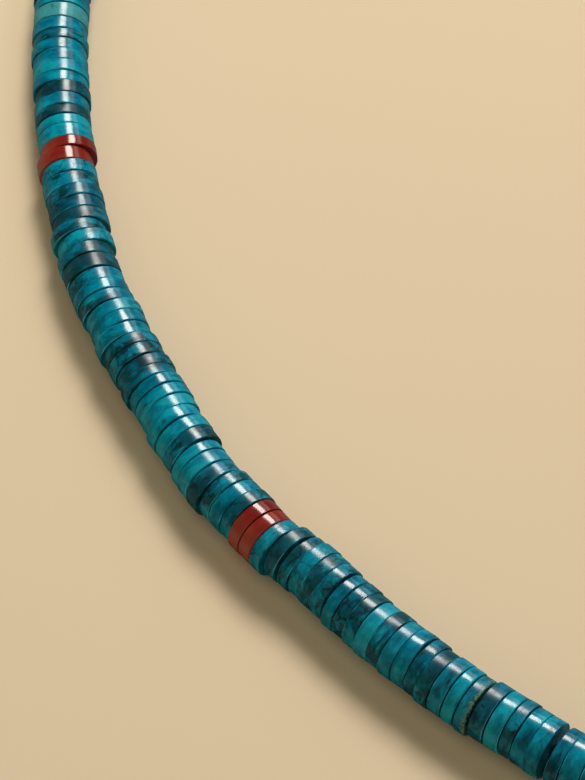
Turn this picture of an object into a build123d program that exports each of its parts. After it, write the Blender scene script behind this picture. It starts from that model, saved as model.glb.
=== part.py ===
from build123d import *
from math import radians, tan
import os

# Beaded choker: turquoise discs with pairs of red discs on a thread, closed by a barrel clasp.
# Millimetres. The closed loop lies flat, its beads on z = 0, with its middle over the origin.

# Beads
bead_diameter = 4.0
bead_thickness = 0.89
bead_gap = 0.15
bead_hole_diameter = 1.1
bead_rim_radius = 0.06

# Pattern: runs of turquoise with a pair of red after each, and a part run at each end
full_run_beads = 31
first_run_beads = 15
last_run_beads = 16
red_beads_in_pair = 2
pair_count = 11

# Runs at the start and at the end of the string that are plain tubes
tube_runs_at_start = 2
tube_runs_at_end = 3

# Thread
thread_diameter = 0.6

# Clasp
clasp_length = 18.0
clasp_end_diameter = 3.0
clasp_collar_length = 1.2
clasp_collar_groove = 0.25
clasp_bore_depth = 2.5
clasp_edge_radius = 0.15

# Loop, seen from above: the corners that the string passes inside, counter-clockwise.
# The clasp is in the middle of the side from the last corner to the first.
loop_corners = [
    (33.2, 49.1),
    (17.6, 60.1),
    (-0.7, 65.4),
    (-19.8, 64.2),
    (-37.1, 56.6),
    (-50.9, 43.4),
    (-59.3, 26.6),
    (-62.1, 7.8),
    (-60.1, -11.8),
    (-53.4, -28.9),
    (-41.6, -43.6),
    (-26.1, -55.9),
    (-9.1, -63.6),
    (9.8, -65.6),
    (28.3, -61.3),
    (44.2, -51.0),
    (55.8, -35.8),
    (61.6, -17.7),
    (61.4, 1.4),
    (55.4, 19.4),
]
# Share of the shorter run that the arc at a corner takes
arc_share = 0.45

# Worked out from the sizes above
axis_height = bead_diameter / 2
bead_pitch = bead_thickness + bead_gap
run_beads = [first_run_beads] + [full_run_beads] * (pair_count - 1) + [last_run_beads]
bead_count = sum(run_beads) + pair_count * red_beads_in_pair
string_length = bead_count * bead_pitch + bead_gap


def arc_radii(corners):
    # An arc takes arc_share of the shorter run beside its corner.
    radii = []
    for index, corner in enumerate(corners):
        run_in = corner - corners[index - 1]
        run_out = corners[(index + 1) % len(corners)] - corner
        shorter_run = min(run_in.length, run_out.length)
        half_turn = radians(run_in.get_angle(run_out)) / 2
        radii.append(arc_share * shorter_run / tan(half_turn))
    return radii


# The loop is drawn once as chosen, to learn its length, and then scaled so that
# the beads and the clasp fill it.
drawn_corners = [Vector(x, y, 0) for x, y in loop_corners]
with BuildLine() as drawn_loop:
    FilletPolyline(*drawn_corners, radius=arc_radii(drawn_corners), close=True)
drawn_length = sum(edge.length for edge in drawn_loop.line.edges())
drawn_middle = drawn_loop.line.bounding_box().center()
loop_scale = (string_length + clasp_length) / drawn_length
corners = [
    (corner - drawn_middle) * loop_scale + Vector(0, 0, axis_height)
    for corner in drawn_corners
]
radii = arc_radii(corners)
print("arc radii", [round(radius, 1) for radius in radii], "loop scale", round(loop_scale, 4))

clasp_middle = (corners[-1] + corners[0]) * 0.5
clasp_direction = (corners[0] - corners[-1]).normalized()
thread_reach = clasp_length / 2 - clasp_bore_depth
thread_start = clasp_middle + clasp_direction * thread_reach
thread_end = clasp_middle - clasp_direction * thread_reach

# The string's line, from the bottom of one clasp bore round to the bottom of the other
with BuildLine() as string_line:
    FilletPolyline(thread_start, *corners, thread_end, radius=radii)
string_wire = string_line.wire()
line_length = string_wire.length
print("line length", round(line_length, 3), "beads and gaps", round(string_length, 3))


def bead_distance(index):
    # Distance along the line to the middle of a bead, counted from 0 at the clasp
    return clasp_bore_depth + bead_gap + bead_thickness / 2 + index * bead_pitch


def bead_plane(index):
    # Plane across the line at a bead's middle
    share = bead_distance(index) / line_length
    return Plane(origin=string_wire @ share, x_dir=(0, 0, 1), z_dir=string_wire % share)


# Numbers of the beads in each run of turquoise and each pair of red
run_numbers = []
pair_numbers = []
next_number = 0
for run_index, beads in enumerate(run_beads):
    run_numbers.append(range(next_number, next_number + beads))
    next_number += beads
    if run_index < pair_count:
        pair_numbers.append(range(next_number, next_number + red_beads_in_pair))
        next_number += red_beads_in_pair
disc_runs = run_numbers[tube_runs_at_start:-tube_runs_at_end]
tube_runs = run_numbers[:tube_runs_at_start] + run_numbers[-tube_runs_at_end:]

os.makedirs("parts", exist_ok=True)

# One drilled disc with a polished rim, which every bead repeats
with BuildPart() as disc:
    with BuildSketch():
        Circle(bead_diameter / 2)
        Circle(bead_hole_diameter / 2, mode=Mode.SUBTRACT)
    extrude(amount=bead_thickness / 2, both=True)
    rims = disc.edges().filter_by(GeomType.CIRCLE).group_by(SortBy.RADIUS)[-1]
    fillet(rims, radius=bead_rim_radius)

# Turquoise discs of the front of the loop, one loose solid each
with BuildPart() as turquoise_front:
    with Locations(*[bead_plane(number) for run in disc_runs for number in run]):
        add(disc.part)
turquoise_front.part.label = "turquoise_front"
export_step(turquoise_front.part, "parts/turquoise_front.step")

# Turquoise runs to either side of the clasp, as drilled tubes along the same line
with BuildPart() as turquoise_back:
    for run in tube_runs:
        run_start = bead_distance(run[0]) - bead_thickness / 2
        run_end = bead_distance(run[-1]) + bead_thickness / 2
        tube_line = string_wire.trim(run_start / line_length, run_end / line_length)
        with BuildSketch(Plane(origin=tube_line @ 0, x_dir=(0, 0, 1), z_dir=tube_line % 0)):
            Circle(bead_diameter / 2)
            Circle(bead_hole_diameter / 2, mode=Mode.SUBTRACT)
        sweep(path=tube_line)
turquoise_back.part.label = "turquoise_back"
export_step(turquoise_back.part, "parts/turquoise_back.step")

# Red discs, each a node of its own
red_numbers = [number for pair in pair_numbers for number in pair]
for red_index, number in enumerate(red_numbers):
    with BuildPart() as red_bead:
        with Locations(bead_plane(number)):
            add(disc.part)
    red_name = f"red_bead_{red_index + 1:02d}"
    red_bead.part.label = red_name
    export_step(red_bead.part, f"parts/{red_name}.step")

# Thread through every bead, its ends on the bottoms of the clasp's bores
with BuildPart() as thread:
    with BuildSketch(Plane(origin=string_wire @ 0, z_dir=string_wire % 0)):
        Circle(thread_diameter / 2)
    sweep(path=string_wire)
thread.part.label = "thread"
export_step(thread.part, "parts/thread.step")

# Barrel clasp: a crowned barrel with a grooved collar and a blind bore at each end
half_clasp = clasp_length / 2
end_radius = clasp_end_diameter / 2
collar_start = half_clasp - clasp_collar_length
barrel_plane = Plane(origin=clasp_middle, x_dir=clasp_direction, z_dir=(0, 0, 1))
with BuildPart() as clasp:
    with BuildSketch(barrel_plane):
        with BuildLine():
            ThreePointArc((-collar_start, end_radius), (0, axis_height), (collar_start, end_radius))
            Polyline(
                (collar_start, end_radius),
                (collar_start, end_radius - clasp_collar_groove),
                (collar_start + clasp_collar_groove, end_radius - clasp_collar_groove),
                (collar_start + clasp_collar_groove, end_radius),
                (half_clasp, end_radius),
                (half_clasp, 0),
                (-half_clasp, 0),
                (-half_clasp, end_radius),
                (-collar_start - clasp_collar_groove, end_radius),
                (-collar_start - clasp_collar_groove, end_radius - clasp_collar_groove),
                (-collar_start, end_radius - clasp_collar_groove),
                (-collar_start, end_radius),
            )
        make_face()
    revolve(axis=Axis(clasp_middle, clasp_direction))
    end_faces = clasp.faces().sort_by(Axis(clasp_middle, clasp_direction))
    fillet(end_faces[0].edges() + end_faces[-1].edges(), radius=clasp_edge_radius)
    for side in (1, -1):
        mouth = clasp_middle + clasp_direction * (side * half_clasp)
        with BuildSketch(Plane(origin=mouth, z_dir=clasp_direction * side)):
            Circle(bead_hole_diameter / 2)
        extrude(amount=-clasp_bore_depth, mode=Mode.SUBTRACT)
clasp.part.label = "clasp"
export_step(clasp.part, "parts/clasp.step")
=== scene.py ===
# Beaded choker: turquoise discs and pairs of red discs on a thread, closed by a barrel clasp.
from math import pi, radians

import bpy
import numpy as np
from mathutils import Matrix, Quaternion, Vector


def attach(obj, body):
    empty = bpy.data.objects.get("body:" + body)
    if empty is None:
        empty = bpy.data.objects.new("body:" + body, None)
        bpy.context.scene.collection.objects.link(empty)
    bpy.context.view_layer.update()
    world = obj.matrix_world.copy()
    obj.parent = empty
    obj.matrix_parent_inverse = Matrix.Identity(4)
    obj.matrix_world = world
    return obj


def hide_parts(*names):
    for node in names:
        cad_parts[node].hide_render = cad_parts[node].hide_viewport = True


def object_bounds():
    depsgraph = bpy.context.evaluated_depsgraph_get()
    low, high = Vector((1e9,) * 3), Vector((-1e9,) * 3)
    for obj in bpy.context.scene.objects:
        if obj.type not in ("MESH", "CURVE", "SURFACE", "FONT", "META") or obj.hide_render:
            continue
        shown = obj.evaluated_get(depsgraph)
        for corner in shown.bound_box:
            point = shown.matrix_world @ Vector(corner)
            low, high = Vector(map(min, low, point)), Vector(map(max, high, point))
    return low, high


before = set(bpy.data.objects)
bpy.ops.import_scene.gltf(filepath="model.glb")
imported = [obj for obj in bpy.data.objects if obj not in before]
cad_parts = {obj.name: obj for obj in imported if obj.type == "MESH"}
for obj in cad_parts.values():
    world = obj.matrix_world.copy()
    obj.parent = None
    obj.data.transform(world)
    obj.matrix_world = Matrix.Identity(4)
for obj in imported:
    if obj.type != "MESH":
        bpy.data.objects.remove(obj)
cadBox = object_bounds()
mm = 0.001
print("frame loaded,", len(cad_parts), "nodes")


# Route of the string

# Corners of the loop in millimetres, counter-clockwise; the clasp is between the last and the first
loopCorners = [
    (33.2, 49.1), (17.6, 60.1), (-0.7, 65.4), (-19.8, 64.2), (-37.1, 56.6),
    (-50.9, 43.4), (-59.3, 26.6), (-62.1, 7.8), (-60.1, -11.8), (-53.4, -28.9),
    (-41.6, -43.6), (-26.1, -55.9), (-9.1, -63.6), (9.8, -65.6), (28.3, -61.3),
    (44.2, -51.0), (55.8, -35.8), (61.6, -17.7), (61.4, 1.4), (55.4, 19.4),
]

stringSettings = {
    "runs": [15] + [31] * 10 + [16],   # turquoise beads between one red pair and the next
    "redInPair": 2,
    "backRuns": (2, 3),       # runs in turquoise_back, at the start and at the end of the string
    "pitch": 1.04,            # mm from bead to bead
    "beadGap": 0.15,          # mm left before the first bead and after the last
    "claspLength": 18.0,
    "claspBore": 2.5,         # mm deep, where the thread ends
    "curveSteps": 40,         # points of the line for each corner of the route
}


def routeLine():
    # A quadratic NURBS curve whose control points are the loop's corners and the two places
    # where the thread ends in the clasp; it is read back as a dense line of points.
    corners = np.array(loopCorners)
    claspMiddle = (corners[0] + corners[-1]) / 2
    claspWay = (corners[0] - corners[-1]) / np.linalg.norm(corners[0] - corners[-1])
    reach = stringSettings["claspLength"] / 2 - stringSettings["claspBore"]
    controls = np.vstack([claspMiddle + claspWay * reach, corners, claspMiddle - claspWay * reach])
    curve = bpy.data.curves.new("route", "CURVE")
    curve.dimensions = "3D"
    curve.resolution_u = stringSettings["curveSteps"]
    spline = curve.splines.new("NURBS")
    spline.points.add(len(controls) - 1)
    flat = np.column_stack([controls, np.zeros(len(controls)), np.ones(len(controls))])
    spline.points.foreach_set("co", flat.ravel())
    spline.order_u = 3
    spline.use_endpoint_u = True
    holder = bpy.data.objects.new("route", curve)
    read = bpy.data.meshes.new_from_object(holder)
    line = np.zeros(len(read.vertices) * 3)
    read.vertices.foreach_get("co", line)
    line = line.reshape(-1, 3)
    bpy.data.objects.remove(holder)
    bpy.data.curves.remove(curve)
    bpy.data.meshes.remove(read)
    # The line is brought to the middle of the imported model
    low, high = np.array(cadBox[0]) / mm, np.array(cadBox[1]) / mm
    line[:, :2] += (low + high)[:2] / 2 - (line.min(0) + line.max(0))[:2] / 2
    return line


line = routeLine()
stepLengths = np.linalg.norm(np.diff(line, axis=0), axis=1)
lineDistance = np.concatenate([[0], np.cumsum(stepLengths)])
lineTangent = np.gradient(line, lineDistance, axis=0)
print("route", round(lineDistance[-1], 2), "mm between the ends of the thread")


def unit(vectors):
    # Each vector over its own length
    return vectors / np.linalg.norm(vectors, axis=-1, keepdims=True)


def alongLine(distance):
    # Points and unit tangents at the given distances along the line, between its nearest points
    points = np.stack([np.interp(distance, lineDistance, line[:, i]) for i in range(3)], axis=-1)
    tangents = np.stack([np.interp(distance, lineDistance, lineTangent[:, i]) for i in range(3)], axis=-1)
    return points, unit(tangents)


# Values of every bead

beadSettings = {
    "diameter": 4.0,          # mm, of the widest bead
    "meanDiameter": 3.93,
    "diameterSpread": 0.024,
    "mostBelowMean": 0.07,
    "bore": 1.1,
    "cellSpread": 0.07,       # share by which hidden beads differ in thickness
    "cellRange": (0.82, 1.28),
    "seam": 0.012,            # mm left open between two beads
    "seamSpread": 0.025,
    "widestRedSeam": 0.05,
    "rimRadius": 0.055,       # of the rounded edge between face and rim
    "rimSpread": 0.014,
    "rimRange": (0.025, 0.09),
    "crown": 0.005,           # mm that the rim bulges in its middle
    "crownAtEdge": 0.3,       # share of the crown that the rim has beside its edge
    "lift": 0.011,            # mm left under the lowest bead, as tilted beads reach lower
    "guard": 0.03,            # mm from an edge to the points that keep its shading off the face
    "sharpAngle": 50,         # degrees, above which an edge isn't shaded smooth
    "oval": 0.003,            # share by which a bead is out of round
    "sideShift": 0.045,       # mm that a bead sits off the string's line
    "tilt": 0.012,            # radians
    "wedge": 0.010,           # share by which a bead is thicker on one side
    "nickDepth": 0.05,        # mm, of the nicks in some edges
    "nickShares": (0, 0, 1, 1.6),   # of that depth, one drawn for each edge
    "nickSides": (-1.0, 1.6),       # radians from the top, outwards
    "nickWidths": (0.08, 0.22),     # radians
    "nickAxial": 0.7,         # how much of its depth a nick takes from the face
    "nickReach": 0.02,        # mm over which it fades on the face
    "stoneReach": 60,         # mm each way, of the block of stone that the beads are cut from
    "darkLean": 0.36,         # how far matrix gathers on one side
    "leanFrom": 0.2,          # share of matrix above which it does
    "nearSides": 48,
    "farSides": 24,
    "nearEdge": 4,            # points on the rounded edge
    "farEdge": 2,
    "seed": 41,
}

# What each stone looks like: tone from deep to bright, share of dark matrix, veins, chips of
# lighter stone set in the dark, and green-grey dullness
stoneKinds = {
    "b": (0.84, 0.06, 0.15, 0.0, 0.0),    # bright
    "m": (0.58, 0.12, 0.25, 0.0, 0.0),    # middling
    "d": (0.28, 0.26, 0.35, 0.1, 0.0),    # deep
    "k": (0.26, 0.52, 0.20, 0.1, 0.1),    # dark matrix
    "p": (0.64, 0.34, 0.35, 0.0, 0.0),    # patched
    "P": (0.72, 0.50, 0.25, 0.0, 0.0),    # half dark
    "v": (0.76, 0.12, 0.90, 0.0, 0.0),    # veined
    "w": (0.86, 0.14, 0.70, 0.0, 0.0),    # bright with veins
    "s": (0.76, 0.24, 0.40, 0.2, 0.0),    # speckled
    "f": (0.56, 0.28, 0.40, 0.3, 0.0),    # flecked
    "x": (0.62, 0.22, 0.40, 0.8, 0.0),    # broken stone in matrix
    "o": (0.50, 0.18, 0.40, 0.2, 1.0),    # with an olive band at the end towards the next bead
    "g": (0.64, 0.05, 0.15, 0.0, 0.8),    # pale sea green
    "r": (0.35, 0.20, 0.20, 0.0, 0.0),    # red, the darker of a pair
    "R": (0.62, 0.12, 0.20, 0.0, 0.0),    # red
}
darkSides = {"t": -0.55, "c": 0.35, "l": 1.25}   # radians from the top, outwards; a is any side
hiddenMix = "bbbbbbmmmmmmddddkppPvvsfxxm"       # a letter for each chance of a hidden bead

# The stretch before the camera, from its far end on: a word for each bead, with a mark in each
# column. They are its stone (stoneKinds), the side where dark matrix gathers (darkSides), its
# thickness, the open seam after it, and its shift off the line, inwards below the straight mark
# and outwards above.
nearStretch = {
    "firstBead": 134,
    "thinnest": 0.85,         # mm, a bead with thickness mark 0
    "thicknessStep": 0.05,    # mm for each mark
    "seamStep": 0.0055,       # mm, times the square of the mark
    "shiftStep": 0.07,        # mm for each mark
    "straight": 5,
    # How far the string lies off its drawn route, in mm outwards, every few beads
    "wanderFrom": 125,
    "wanderEvery": 5,
    "wander": [0.0, 0.04, 0.06, -0.09, -0.12, 0.0, 0.20, 0.09, -0.12, -0.12, 0.18, 0.08,
               -0.30, -0.22, -0.08, 0.05, 0.11, 0.0],
    "columns": ("stone", "side", "thickness", "seam", "shift"),
    "chart": """
        mt614 ga944 mt645 pt114 mt216 ma415 ba415 mc106 kc414 mt626 kc016 ba116 ba615
        ra114 Ra618
        vt546 st626 dl524 dl424 kl413 pt217 wc523 pt547 kc926 pl426 ml226 pl335 ba413 ml524 mc416
        xc224 xt525 dc213 dl215 ma143 ba303 ba334 ba436 ba414 pt764 ba136 ba536 pl647 sc324 ml514
        pt233
        ra535 Ra636
        vc347 Pc563 pc213 vl412 pc323 sc553 ma225 xl314 Pt325 ba416 Pc415 ml326 ma535 dl135 Pc427
        ma426 ba246 oc367 dl744 bl534 pl033 ml424 ml895 da515 ml925 ma925
    """.split(),
}


def beadOrder():
    # Whether each bead is red, and the number of the run or pair that it belongs to, which goes
    # up by one wherever the colour changes
    isRed = []
    for runBeads in stringSettings["runs"]:
        isRed += [False] * runBeads + [True] * stringSettings["redInPair"]
    isRed = np.array(isRed[:-stringSettings["redInPair"]])
    return isRed, np.concatenate([[0], np.cumsum(isRed[1:] != isRed[:-1])])


def beadTable():
    # An array of each value, with a place for each bead of the string: chance values, and the
    # marks' values in the near stretch. A bead's cell is the length of string that it takes, and
    # its faces stand in from the ends of its cell by half of the seams beside it.
    s, b, n = stringSettings, beadSettings, nearStretch
    random = np.random.default_rng(b["seed"])
    isRed, group = beadOrder()
    count = len(isRed)
    stones = random.choice(list(hiddenMix), count)
    sides = random.uniform(-pi, pi, count)
    cells = random.normal(1.0, b["cellSpread"], count).clip(*b["cellRange"])
    seams = b["seam"] + np.abs(random.normal(0, b["seamSpread"], count))
    shifts = random.normal(0, b["sideShift"], count)
    placeInPair = np.cumsum(isRed) % s["redInPair"]
    stones[isRed] = np.where(placeInPair[isRed] == 1, "r", "R")

    isNear = np.zeros(count, bool)
    isNear[n["firstBead"]:n["firstBead"] + len(n["chart"])] = True
    marks = dict(zip(n["columns"], zip(*n["chart"])))
    stones[isNear] = marks["stone"]
    sides[isNear] = [darkSides.get(mark, side) for mark, side in zip(marks["side"], sides[isNear])]
    cells[isNear] = n["thinnest"] + n["thicknessStep"] * np.array(marks["thickness"], int)
    seams[isNear] = b["seam"] + n["seamStep"] * np.array(marks["seam"], int) ** 2
    shifts[isNear] = n["shiftStep"] * (np.array(marks["shift"], int) - n["straight"])
    wanderAt = n["wanderFrom"] + n["wanderEvery"] * np.arange(len(n["wander"]))
    shifts += np.interp(np.arange(count), wanderAt, n["wander"])

    # Each run and each pair fills its own stretch of the string exactly
    for part in range(group[-1] + 1):
        own = group == part
        cells[own] *= s["pitch"] * own.sum() / cells[own].sum()
    seams[isRed] = np.minimum(seams[isRed], b["widestRedSeam"])
    ends = s["claspBore"] + s["beadGap"] / 2 + np.concatenate([[0], np.cumsum(cells)])
    seamsBefore = np.concatenate([[b["seam"]], seams[:-1]])
    faceBack = ends[:-1] + seamsBefore / 2
    faceFront = ends[1:] - seams / 2
    wholeLine = 2 * s["claspBore"] + s["pitch"] * count + s["beadGap"]
    toLine = lineDistance[-1] / wholeLine

    diameter = random.normal(b["meanDiameter"], b["diameterSpread"], count)
    widest = b["diameter"] - 2 * (b["crown"] + b["lift"])
    bothEdges = (count, 2)    # front and back
    return {
        "isRed": isRed,
        "isNear": isNear,
        "group": group,
        "middle": (faceBack + faceFront) / 2 * toLine,
        "half": (faceFront - faceBack) / 2 * toLine,
        "radius": diameter.clip(b["meanDiameter"] - b["mostBelowMean"], widest) / 2,
        "shift": shifts,
        "edge": random.normal(b["rimRadius"], b["rimSpread"], count).clip(*b["rimRange"]),
        "tilt": random.normal(0, b["tilt"], (count, 2)),
        "wedge": random.normal(0, b["wedge"], count),
        "wedgeSide": random.uniform(0, 2 * pi, count),
        "ovalSide": random.uniform(0, pi, count),
        "nickSide": random.uniform(*b["nickSides"], bothEdges),
        "nickWidth": random.uniform(*b["nickWidths"], bothEdges),
        "nickDepth": b["nickDepth"] * random.choice(b["nickShares"], bothEdges) * random.random(bothEdges),
        "stone": np.array([stoneKinds[stone] for stone in stones]),
        "darkSide": sides,
        "place": random.uniform(-b["stoneReach"], b["stoneReach"], (count, 3)),
    }


beads = beadTable()
print("beads", len(beads["isRed"]), "of which red", beads["isRed"].sum(), "and near", beads["isNear"].sum())


# Shape of the beads

def meshFromGrid(name, points, attributes):
    # points has one block for each bead: rows round the bead, columns along its closed profile.
    # Each cell of the grid is a face, and the grid closes on itself both ways.
    blocks, rows, columns, _ = points.shape
    block, row, column = np.meshgrid(np.arange(blocks), np.arange(rows), np.arange(columns), indexing="ij")

    def number(r, c):
        # Number of the point in row r and column c of its block
        return (block * rows + r % rows) * columns + c % columns

    faces = np.stack([number(row, column), number(row, column + 1),
                      number(row + 1, column + 1), number(row + 1, column)], axis=-1).reshape(-1, 4)
    mesh = bpy.data.meshes.new(name)
    mesh.vertices.add(blocks * rows * columns)
    mesh.vertices.foreach_set("co", (points * mm).ravel())
    mesh.loops.add(faces.size)
    mesh.loops.foreach_set("vertex_index", faces.ravel())
    mesh.polygons.add(len(faces))
    mesh.polygons.foreach_set("loop_start", np.arange(0, faces.size, faces.shape[1]))
    mesh.polygons.foreach_set("use_smooth", np.ones(len(faces), bool))
    mesh.update(calc_edges=True)
    mesh.set_sharp_from_angle(angle=radians(beadSettings["sharpAngle"]))
    for title, values in attributes.items():
        layer = mesh.attributes.new(title, "FLOAT_VECTOR", "POINT")
        layer.data.foreach_set("vector", np.ascontiguousarray(values, dtype=np.float32).ravel())
    piece = bpy.data.objects.new(name, mesh)
    bpy.context.scene.collection.objects.link(piece)
    return piece


def beadProfile(half, radius, edge, isFine):
    # Axial place, radius and share of a nick of each point of a bead's profile, from the bore over
    # the front face and the edge to the rim. The edge is a quarter circle: at turn t it is
    # edge*(1 - cos t) behind the face and edge*(1 - sin t) inside the rim. The back is the mirror
    # image of the front, and a near bead has its crown in the middle between them.
    b = beadSettings
    turns = np.linspace(0, pi / 2, b["nearEdge"] if isFine else b["farEdge"])
    front = [(half - edge * (1 - np.cos(t)), radius - edge * (1 - np.sin(t)), 1) for t in turns]
    middle = []
    if isFine:
        fade = np.exp(-(b["guard"] / b["nickReach"]) ** 2)
        front.insert(0, (half, radius - edge - b["guard"], fade))
        front.append((half - edge - b["guard"], radius + b["crownAtEdge"] * b["crown"], 1))
        middle.append((0 * half, radius + b["crown"], 0))
    front.insert(0, (half, b["bore"] / 2 * np.ones_like(half), 0))
    back = [(-x, q, share) for x, q, share in reversed(front)]
    axial, around, nicked = zip(*front, *middle, *back)
    return np.concatenate(axial, axis=-1), np.concatenate(around, axis=-1), np.array(nicked)


def beadPiece(name, picks):
    # A bead is its profile carried round its axis: at angle a from the top, a profile point of
    # axial place x and radius q lies at centre + x*axis + q*(cos a*up + sin a*outwards). The
    # radius swells and shrinks twice a turn, each edge loses a nick of depth*exp(-(a/width)**2),
    # and x grows by the wedge's share times q cos a, so that the faces aren't quite parallel.
    b = beadSettings
    own = {key: values[picks, None, None] for key, values in beads.items()}
    half, radius = own["half"], own["radius"]
    isFine = own["isNear"].all()
    angle = np.linspace(0, 2 * pi, b["nearSides"] if isFine else b["farSides"], endpoint=False)
    angle = angle[None, :, None]
    axial, around, nicked = beadProfile(half, radius, own["edge"], isFine)
    frontOrBack = np.sign(axial)
    swell = b["oval"] * (np.cos(2 * (angle - own["ovalSide"])) - 1)
    around = around * (1 + swell * (around > b["bore"] / 2))
    for face, sign in enumerate((1, -1)):
        depth, side, width = (own[key][..., face] for key in ("nickDepth", "nickSide", "nickWidth"))
        nick = depth * np.exp(-((angle - side) / width) ** 2) * nicked * (frontOrBack == sign)
        around = around - nick
        axial = axial - sign * b["nickAxial"] * nick
    axial = axial * (1 + own["wedge"] * np.cos(angle - own["wedgeSide"]) * around / radius)
    across, outwards = around * np.cos(angle), around * np.sin(angle)

    # Each bead stands on its own radius, leans a little, and sits off the line by its shift
    centre, tangent = alongLine(own["middle"])
    up = np.array([0.0, 0.0, 1.0])
    out = np.cross(tangent, up)
    centre = centre + out * own["shift"][..., None]
    centre[..., 2] = radius + b["crown"] + b["lift"]
    axis = unit(tangent + up * own["tilt"][..., :1] + out * own["tilt"][..., 1:])
    up = unit(up - axis * (up * axis).sum(-1, keepdims=True))
    out = np.cross(axis, up)
    points = centre + axial[..., None] * axis + across[..., None] * up + outwards[..., None] * out

    # What the shader reads: the point's place in its bead and in the block, and its stone's look
    tone, dark, veins, chips, dull = np.moveaxis(own["stone"], -1, 0)
    lean = np.cos(angle - own["darkSide"]) * (around / radius)
    darkness = dark + b["darkLean"] * lean * (dark > b["leanFrom"])
    towardsFace = np.abs(axial) / half
    look = np.stack(np.broadcast_arrays(tone, darkness, veins, chips, dull, towardsFace), axis=-1)
    local = np.stack([axial, across, outwards], axis=-1)
    return meshFromGrid(name, points, {
        "beadPlace": local,
        "stonePlace": local + own["place"],
        "stoneLook": look[..., :3],
        "stoneExtra": look[..., 3:],
    })


# Shader building

class Value:
    # A shader socket, on which arithmetic adds Math nodes and gives a new Value
    def __init__(self, tree, socket):
        self.tree, self.socket = tree, socket

    def math(self, operation, first, second):
        # Each of the two is a Value or a number
        return self.tree.node("Math", {"operation": operation}, {0: first, 1: second})

    def __add__(self, other):
        return self.math("ADD", self, other)

    def __radd__(self, other):
        return self.math("ADD", other, self)

    def __sub__(self, other):
        return self.math("SUBTRACT", self, other)

    def __rsub__(self, other):
        return self.math("SUBTRACT", other, self)

    def __mul__(self, other):
        return self.math("MULTIPLY", self, other)

    def __rmul__(self, other):
        return self.math("MULTIPLY", other, self)

    def swing(self):
        # A noise about 0, where its own middle is 0.5
        return self - 0.5

    def smooth(self, low, high):
        # 0 below low, 1 above high, and an S curve between
        return self.tree.node("MapRange", {"interpolation_type": "SMOOTHSTEP"},
                              {"Value": self, "From Min": low, "From Max": high})

    def limited(self):
        # Kept between 0 and 1
        return self.tree.node("Clamp", {}, {"Value": self})


class ShaderTree:
    # A material and the nodes behind its Principled BSDF, whose constants are set directly
    def __init__(self, name, constants):
        self.material = bpy.data.materials.new(name)
        self.material.use_nodes = True
        self.nodes = self.material.node_tree.nodes
        self.links = self.material.node_tree.links
        self.surface = self.nodes["Principled BSDF"]
        for title, value in constants.items():
            self.surface.inputs[title].default_value = value

    def node(self, kind, settings, sockets, output=0):
        # Any node: its type, its settings, and the values or links of its sockets
        made = self.nodes.new("ShaderNode" + kind)
        for title, value in settings.items():
            if title == "stops":
                self.setStops(made.color_ramp.elements, value)
            else:
                setattr(made, title, value)
        for title, value in sockets.items():
            if isinstance(value, Value):
                self.links.new(value.socket, made.inputs[title])
            else:
                made.inputs[title].default_value = value
        return Value(self, made.outputs[output])

    def setStops(self, elements, stops):
        # Each stop is its place and its colour. A new ramp has two stops, and the others are added.
        for index, (place, colour) in enumerate(stops):
            stop = elements[index] if index < 2 else elements.new(place)
            stop.position, stop.color = place, (*colour, 1)

    def attribute(self, name):
        # A vector that the piece's mesh holds at each point
        return self.node("Attribute", {"attribute_name": name}, {}, "Vector")

    def nodePlace(self):
        # Place on a node of the CAD model, in mm
        return self.stretched(self.node("TexCoord", {}, {}, "Object"), (1 / mm, 1 / mm, 1 / mm))

    def parts(self, vector):
        # The three numbers of a vector
        outputs = self.node("SeparateXYZ", {}, {0: vector}).socket.node.outputs
        return [Value(self, output) for output in outputs]

    def stretched(self, vector, factors):
        # Each number of the vector times its own factor
        return self.node("VectorMath", {"operation": "MULTIPLY"}, {0: vector, 1: factors})

    def shifted(self, vector, offset):
        # Each number of the vector plus its own offset
        return self.node("VectorMath", {"operation": "ADD"}, {0: vector, 1: offset})

    def noise(self, vector, scale, detail, roughness=0.55, distortion=0.0):
        # A cloudy number between 0 and 1
        return self.node("TexNoise", {}, {"Vector": vector, "Scale": scale, "Detail": detail,
                                          "Roughness": roughness, "Distortion": distortion})

    def ramp(self, factor, stops):
        # The colour at the factor's place between the stops
        return self.node("ValToRGB", {"stops": stops}, {"Fac": factor})

    def mix(self, factor, first, second):
        # Between two colours, each a Value or a tuple of three; sockets 6 and 7 and output 2 of
        # the node are its colours
        first, second = ((*colour, 1) if isinstance(colour, tuple) else colour
                         for colour in (first, second))
        return self.node("Mix", {"data_type": "RGBA"}, {"Factor": factor, 6: first, 7: second}, 2)

    def bump(self, height, strength, depth):
        # The normal of a surface that rises by depth, in metres, where the height is 1
        return self.node("Bump", {}, {"Height": height, "Strength": strength, "Distance": depth})

    def finish(self, **sockets):
        # Links values to the surface; Base_Color stands for Base Color
        for title, value in sockets.items():
            self.links.new(value.socket, self.surface.inputs[title.replace("_", " ")])
        return self.material


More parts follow.
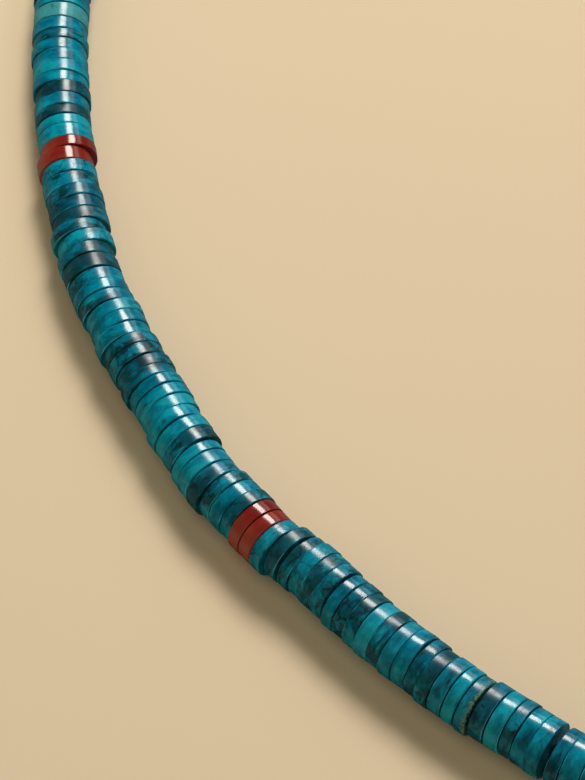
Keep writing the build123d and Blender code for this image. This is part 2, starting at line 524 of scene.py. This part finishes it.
# A noise is its scale in waves for each mm, detail, roughness and distortion. A span is where a
# mask begins and where it is whole. A cover is the share of its colour where the mask is whole.
turquoiseSettings = {
    "gloss": {"IOR": 1.55},
    "tones": [(0.0, 0.066, 0.111), (0.0, 0.159, 0.247), (0.0, 0.272, 0.385), (0.004, 0.355, 0.455)],
    "tonePlaces": (0.0, 0.42, 0.8, 1.0),    # of the tones on the scale from deep to pale
    "cloud": (0.75, 5.0, 0.6),
    "cloudStretch": (1.7, 0.8, 0.8),        # stone is drawn out along the rim
    "cloudTone": 2.6,
    "grain": (3.4, 4.0, 0.6),
    "grainTone": 0.5,
    "dull": (0.115, 0.390, 0.320),
    "dullCover": 0.6,
    # Broken stone
    "warp": {"Scale": 1.3, "Detail": 3.0},
    "warpReach": (0.9, 0.9, 0.9),           # mm
    "cellScale": 1.1,
    "chipPlaces": (0.0, 0.35, 0.8),         # of the first three tones
    "chipCover": 0.75,
    # Dark matrix and veins
    "matrix": (0.002, 0.033, 0.044),
    "matrixBrown": (0.013, 0.029, 0.032),
    "brown": (1.7, 3.0),
    "brownSpan": (0.52, 0.75),
    "blotch": (0.75, 5.0, 0.6, 0.8),
    "blotchOffset": (17, 5, 9),
    "blotchMass": 3.0,
    "massBase": -2.0,
    "grainMass": 0.5,
    "massSpan": (-0.26, 0.36),
    "massCover": 0.80,
    "crazing": (0.8, 2.0),                  # where the stone is crazed
    "crazingOffset": (3, 31, 7),
    "crazingSpan": (0.36, 0.54),
    "veinSpan": (0.0, 0.10),
    "veinCover": 0.80,
    "chipEdgeSpan": (0.02, 0.18),
    "chipEdgeCover": 0.50,
    # Olive band, on stones that are duller than the first number of bandedSpan
    "olive": (0.130, 0.250, 0.165),
    "bandedSpan": (0.9, 1.0),
    "bandSpan": (0.14, 0.26),               # mm from the bead's middle towards the next bead
    "bandGrain": 1.1,
    "bandCover": 0.9,
    "spots": (5.5, 2.0),
    "spotSpan": (0.50, 0.60),
    # Painted sheen: edges painted lighter, as light caught on them
    "paintedSheen": (0.030, 0.450, 0.600),
    "outerPaintedSheen": (0.10, 0.68, 0.88),         # painted sheen, brighter on the outer side of the loop
    "outerSheenSpan": (0.2, 1.5),                # mm outwards
    "sheenSpan": (0.90, 0.98),                # share of the way from the middle to the face
    "sheenRadiusSpan": (1.86, 1.92),          # mm from the bead's axis
    "sheenPatches": (0.45, 2.0),
    "sheenPatchSpan": (0.48, 0.62),
    "sheenCover": 0.9,
    # Polish
    "lathe": (1.6, 3.0),
    "latheStretch": (9.0, 0.35, 0.35),      # fine turning marks that run round the bead
    "latheHeight": 0.30,
    "waves": (1.1, 2.0),
    "waveHeight": 0.6,
    "grainHeight": 0.12,
    "pitDepth": 0.35,
    "bumpStrength": 0.35,
    "bumpDepth": 0.00002,                   # metres
    "dulling": (0.05, 1.0),
    "dullingSpan": (0.42, 0.62),
    "roughness": 0.16,
    "dullingRoughness": 0.08,
    "matrixRoughness": 0.08,
    "grainRoughness": 0.06,
}


def turquoiseStone():
    # A stone's tone is its own plus the swing of cloud and grain, read on the scale of tones. Each
    # further colour covers it where a smooth mask of noise, distance or place lets it.
    t = turquoiseSettings
    shader = ShaderTree("turquoiseStone", t["gloss"])
    place = shader.attribute("stonePlace")
    tone, dark, veins = shader.parts(shader.attribute("stoneLook"))
    chips, dull, towardsFace = shader.parts(shader.attribute("stoneExtra"))
    beadPlace = shader.attribute("beadPlace")
    ownAxial, _, ownOut = shader.parts(beadPlace)

    drawn = shader.stretched(place, t["cloudStretch"])
    cloud = shader.noise(drawn, *t["cloud"])
    grain = shader.noise(place, *t["grain"])
    level = (tone + cloud.swing() * t["cloudTone"] + grain.swing() * t["grainTone"]).limited()
    colour = shader.ramp(level, list(zip(t["tonePlaces"], t["tones"])))
    banded = dull.smooth(*t["bandedSpan"])
    colour = shader.mix((dull - banded) * t["dullCover"], colour, t["dull"])

    # Broken stone: cells of one tone each, set in matrix
    warp = shader.node("TexNoise", {}, {"Vector": place, **t["warp"]}, "Color")
    warped = shader.node("VectorMath", {"operation": "MULTIPLY_ADD"}, {0: warp, 1: t["warpReach"], 2: place})
    cellSockets = {"Vector": warped, "Scale": t["cellScale"]}
    cellTone, _, _ = shader.parts(shader.node("TexVoronoi", {"feature": "F1"}, cellSockets, "Color"))
    cellEdge = shader.node("TexVoronoi", {"feature": "DISTANCE_TO_EDGE"}, cellSockets)
    chipTone = shader.ramp(cellTone, list(zip(t["chipPlaces"], t["tones"])))
    colour = shader.mix(chips * t["chipCover"], colour, chipTone)

    # Dark matrix in masses, and thin veins where the stone is crazed
    blotch = shader.noise(shader.shifted(drawn, t["blotchOffset"]), *t["blotch"])
    mass = blotch * t["blotchMass"] + dark + t["massBase"] + grain.swing() * t["grainMass"]
    mass = mass.smooth(*t["massSpan"])
    crazed = shader.noise(shader.shifted(place, t["crazingOffset"]), *t["crazing"]).smooth(*t["crazingSpan"])
    vein = (1 - cellEdge.smooth(*t["veinSpan"])) * crazed * veins
    chipEdge = (1 - cellEdge.smooth(*t["chipEdgeSpan"])) * chips
    brown = shader.noise(place, *t["brown"]).smooth(*t["brownSpan"])
    matrix = shader.mix(brown, t["matrix"], t["matrixBrown"])
    shade = (mass * t["massCover"] + vein * t["veinCover"] + chipEdge * t["chipEdgeCover"]).limited()
    colour = shader.mix(shade, colour, matrix)

    # A band of olive stone with dark spots along one end
    band = (ownAxial + grain.swing() * t["bandGrain"]).smooth(*t["bandSpan"]) * banded
    spots = shader.noise(place, *t["spots"]).smooth(*t["spotSpan"])
    spotted = shader.mix(spots, t["olive"], t["matrixBrown"])
    colour = shader.mix(band * t["bandCover"], colour, spotted)

    # Painted sheen: the edge between rim and face is painted lighter here and there, as light caught on it,
    # and brighter on the outer side
    fromAxis = shader.stretched(beadPlace, (0, 1, 1))
    beadRadius = shader.node("VectorMath", {"operation": "LENGTH"}, {0: fromAxis}, "Value")
    sheenMask = towardsFace.smooth(*t["sheenSpan"]) * beadRadius.smooth(*t["sheenRadiusSpan"])
    sheenMask = sheenMask * shader.noise(place, *t["sheenPatches"]).smooth(*t["sheenPatchSpan"])
    paintedSheen = shader.mix(ownOut.smooth(*t["outerSheenSpan"]), t["paintedSheen"], t["outerPaintedSheen"])
    colour = shader.mix(sheenMask * t["sheenCover"], colour, paintedSheen)

    # Polish: faint turning marks and waves, pits in the matrix, and patches that are duller
    lathe = shader.noise(shader.stretched(place, t["latheStretch"]), *t["lathe"])
    waves = shader.noise(place, *t["waves"])
    height = lathe * t["latheHeight"] + waves * t["waveHeight"] + grain * t["grainHeight"]
    height = height - shade * grain * t["pitDepth"]
    normal = shader.bump(height, t["bumpStrength"], t["bumpDepth"])
    dulled = shader.noise(place, *t["dulling"]).smooth(*t["dullingSpan"])
    rough = t["roughness"] + dulled * t["dullingRoughness"] + shade * t["matrixRoughness"]
    rough = rough + grain.swing() * t["grainRoughness"]
    return shader.finish(Base_Color=colour, Roughness=rough, Normal=normal)


redSettings = {
    "gloss": {"IOR": 1.55},
    "deep": (0.145, 0.008, 0.006),
    "bright": (0.325, 0.029, 0.017),
    "cloud": (1.0, 4.0),
    "cloudStretch": (2.0, 0.6, 0.6),
    "cloudTone": 1.1,
    "grain": (4.0, 3.0),
    "grainTone": 0.3,
    "vein": (0.045, 0.004, 0.004),
    "streaks": (1.4, 2.0),
    "streakStretch": (3.0, 0.4, 0.4),
    "streakSpan": (0.58, 0.72),
    "streakCover": 0.4,
    "lit": (0.420, 0.082, 0.042),     # painted light, towards the outer side of the loop
    "litCloud": 0.8,
    "litSpan": (0.9, 2.3),            # mm outwards
    "litCover": 0.75,
    "waves": (1.1, 2.0),
    "waveHeight": 0.8,
    "grainHeight": 0.3,
    "bumpStrength": 0.3,
    "bumpDepth": 0.00002,             # metres
    "roughness": 0.15,
    "grainRoughness": 0.06,
}


def redStone():
    # Tone as in the turquoise, between two reds; streaks run round the bead, and painted
    # light makes the stone lighter and more orange outwards
    r = redSettings
    shader = ShaderTree("redStone", r["gloss"])
    place = shader.attribute("stonePlace")
    tone, _, _ = shader.parts(shader.attribute("stoneLook"))
    _, _, ownOut = shader.parts(shader.attribute("beadPlace"))
    cloud = shader.noise(shader.stretched(place, r["cloudStretch"]), *r["cloud"])
    grain = shader.noise(place, *r["grain"])
    level = (tone + cloud.swing() * r["cloudTone"] + grain.swing() * r["grainTone"]).limited()
    colour = shader.ramp(level, [(0.0, r["deep"]), (1.0, r["bright"])])
    streaks = shader.noise(shader.stretched(place, r["streakStretch"]), *r["streaks"])
    colour = shader.mix(streaks.smooth(*r["streakSpan"]) * r["streakCover"], colour, r["vein"])
    # Painted light: the stone is painted lighter and more orange towards the outer side
    lit = (ownOut + cloud * r["litCloud"]).smooth(*r["litSpan"])
    colour = shader.mix(lit * r["litCover"], colour, r["lit"])
    height = shader.noise(place, *r["waves"]) * r["waveHeight"] + grain * r["grainHeight"]
    normal = shader.bump(height, r["bumpStrength"], r["bumpDepth"])
    rough = r["roughness"] + grain.swing() * r["grainRoughness"]
    return shader.finish(Base_Color=colour, Roughness=rough, Normal=normal)


claspSettings = {
    "metal": {"Metallic": 0.6},
    "silver": (0.76, 0.74, 0.70),
    "tarnish": (0.40, 0.37, 0.32),
    "wear": (0.9, 5.0),
    "wearSpan": (0.52, 0.70),
    "tarnishCover": 0.45,
    "scratches": (6.0, 3.0, 0.7),
    "bumpStrength": 0.2,
    "bumpDepth": 0.00001,     # metres
    "roughness": 0.34,
    "scratchRoughness": 0.2,
    "wearRoughness": 0.15,
}


def satinSilver():
    # Silver that is tarnished where a broad noise is high, roughened by that and by a fine noise
    c = claspSettings
    shader = ShaderTree("satinSilver", c["metal"])
    place = shader.nodePlace()
    wear = shader.noise(place, *c["wear"])
    scratches = shader.noise(place, *c["scratches"])
    colour = shader.mix(wear.smooth(*c["wearSpan"]) * c["tarnishCover"], c["silver"], c["tarnish"])
    normal = shader.bump(scratches + wear, c["bumpStrength"], c["bumpDepth"])
    rough = c["roughness"] + scratches.swing() * c["scratchRoughness"] + wear.swing() * c["wearRoughness"]
    return shader.finish(Base_Color=colour, Roughness=rough, Normal=normal)


threadSettings = {
    "matt": {"Roughness": 0.85},
    "stops": [(0.3, (0.010, 0.009, 0.008)), (0.7, (0.05, 0.042, 0.036))],
    "strands": (7.0, 2.0),
    "bumpStrength": 0.6,
    "bumpDepth": 0.00004,     # metres
}


def darkThread():
    # One fine noise gives both the strands' colour and their height
    t = threadSettings
    shader = ShaderTree("darkThread", t["matt"])
    strands = shader.noise(shader.nodePlace(), *t["strands"])
    colour = shader.ramp(strands, t["stops"])
    return shader.finish(Base_Color=colour, Normal=shader.bump(strands, t["bumpStrength"], t["bumpDepth"]))


turquoise, red = turquoiseStone(), redStone()
print("stones' materials built")


# Beads: a piece for each run of turquoise and for each red disc

def addPiece(piece, material, node):
    # The piece gets its material, rides on the choker's body and stands for a node of the model
    piece.data.materials.append(material)
    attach(piece, "root")
    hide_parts(node)


def buildBeads():
    # Groups of beads alternate: a run of turquoise, then a pair of red. In a run that is partly
    # near, the near beads are a piece of their own.
    backAtStart, backAtEnd = stringSettings["backRuns"]
    frontRuns = range(backAtStart, len(stringSettings["runs"]) - backAtEnd)
    redMade = 0
    for part in range(beads["group"][-1] + 1):
        picks = np.flatnonzero(beads["group"] == part)
        if beads["isRed"][picks[0]]:
            for pick in picks:
                redMade += 1
                piece = beadPiece(f"redBead{redMade:02d}", [pick])
                addPiece(piece, red, f"red_bead_{redMade:02d}")
            continue
        run = part // 2
        node = "turquoise_front" if run in frontRuns else "turquoise_back"
        isNear = beads["isNear"][picks]
        for ending, chosen in (("", picks[~isNear]), ("Near", picks[isNear])):
            if len(chosen):
                piece = beadPiece(f"turquoiseRun{run + 1:02d}{ending}", chosen)
                addPiece(piece, turquoise, node)


buildBeads()
print("beads built")

for nodeName, material in (("clasp", satinSilver()), ("thread", darkThread())):
    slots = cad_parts[nodeName].data.materials
    slots.clear()
    slots.append(material)
print("clasp and thread finished")


# Floor, lights and camera

stageSettings = {
    "floor": (0.80, 0.635, 0.425),
    "floorReach": 3.0,                   # metres each way
    "floorRoughness": 0.9,
    "mirrored": (0.120, 0.205, 0.190),   # the floor as the stones and the clasp mirror it
    "mirroredDepth": 0.0002,
    "world": (0.72, 0.98, 1.0),
    "worldStrength": 0.028,
}
# Each light's way is from the beads towards it. Its distance and size are in metres, its turn in
# degrees, and mirrored says whether the stones mirror it.
lightSettings = {
    "key": {"way": (0.144, 0.692, 0.707), "distance": 0.55, "size": (0.150, 0.160), "turn": -7,
            "watts": 1.22, "colour": (1.0, 0.945, 0.865), "mirrored": True},
    "keyGlow": {"way": (0.144, 0.692, 0.707), "distance": 0.60, "size": (0.26, 0.26), "turn": 0,
                "watts": 1.81, "colour": (0.952, 0.96, 1.0), "mirrored": False},
    "side": {"way": (0.565, 0.483, 0.669), "distance": 0.60, "size": (0.136, 0.80), "turn": 53,
             "watts": 0.46, "colour": (1.0, 0.97, 0.93), "mirrored": True},
    "fill": {"way": (-0.50, -0.45, 1.0), "distance": 1.0, "size": (1.6, 1.6), "turn": 0,
             "watts": 4.45, "colour": (1.0, 0.90, 0.70), "mirrored": False},
}
cameraSettings = {
    "place": (-47.96, -175.95, 202.11),  # mm
    "elevation": 52.9,                   # degrees
    "turn": -0.92,
    "focalPixels": 3800,                 # focal length in pixels of the picture
    "longSide": 780,                     # of the picture, in pixels
    "sensor": 36.0,                      # mm
    "clip": (0.01, 10),                  # metres
}
beadsInView = Vector((-0.047, -0.025, 0.002))   # metres


def softLight(name, way, distance, size, turn, watts, colour, mirrored):
    # A rectangle that faces the beads in view from its distance along its way
    lamp = bpy.data.lights.new(name, "AREA")
    lamp.shape = "RECTANGLE"
    lamp.size, lamp.size_y = size
    lamp.energy, lamp.color = watts, colour
    holder = bpy.data.objects.new(name, lamp)
    toLight = Vector(way).normalized()
    holder.location = beadsInView + toLight * distance
    holder.rotation_mode = "QUATERNION"
    holder.rotation_quaternion = toLight.to_track_quat("Z", "Y") @ Quaternion((0, 0, 1), radians(turn))
    holder.visible_glossy = mirrored
    bpy.context.scene.collection.objects.link(holder)


def floorSheet(name, colour, height):
    # A level square of one face at the given height
    reach = stageSettings["floorReach"]
    corners = [(-reach, -reach), (reach, -reach), (reach, reach), (-reach, reach)]
    mesh = bpy.data.meshes.new(name)
    mesh.from_pydata([(x, y, height) for x, y in corners], [], [(0, 1, 2, 3)])
    finish = {"Base Color": (*colour, 1), "Roughness": stageSettings["floorRoughness"]}
    mesh.materials.append(ShaderTree(name, finish).material)
    sheet = bpy.data.objects.new(name, mesh)
    bpy.context.scene.collection.objects.link(sheet)
    return sheet


def buildStage():
    # Two sheets make the floor: a pale one that is seen, and just under it a darker one that only
    # mirrors in the beads, so that the stone keeps its deep colour down to the lower edge
    s = stageSettings
    floor = floorSheet("floor", s["floor"], 0)
    floor.visible_glossy = False
    floor.visible_shadow = False
    mirrored = floorSheet("mirroredFloor", s["mirrored"], -s["mirroredDepth"])
    mirrored.visible_camera = False
    mirrored.visible_diffuse = False
    for name, values in lightSettings.items():
        softLight(name, **values)
    world = bpy.data.worlds.new("softRoom")
    world.use_nodes = True
    background = world.node_tree.nodes["Background"]
    background.inputs["Color"].default_value = (*s["world"], 1)
    background.inputs["Strength"].default_value = s["worldStrength"]
    bpy.context.scene.world = world


def buildCamera():
    # Looks down at the elevation, turned a little about the vertical; a focal length in pixels is
    # to the picture's long side what the lens is to the sensor
    c = cameraSettings
    lens = bpy.data.cameras.new("camera")
    lens.sensor_width = c["sensor"]
    lens.lens = c["focalPixels"] * c["sensor"] / c["longSide"]
    lens.clip_start, lens.clip_end = c["clip"]
    camera = bpy.data.objects.new("camera", lens)
    camera.location = Vector(c["place"]) * mm
    camera.rotation_euler = (radians(90 - c["elevation"]), 0, radians(c["turn"]))
    bpy.context.scene.collection.objects.link(camera)
    bpy.context.scene.camera = camera


buildStage()
buildCamera()
bpy.context.scene.view_settings.view_transform = "Standard"
print("stage and camera set")
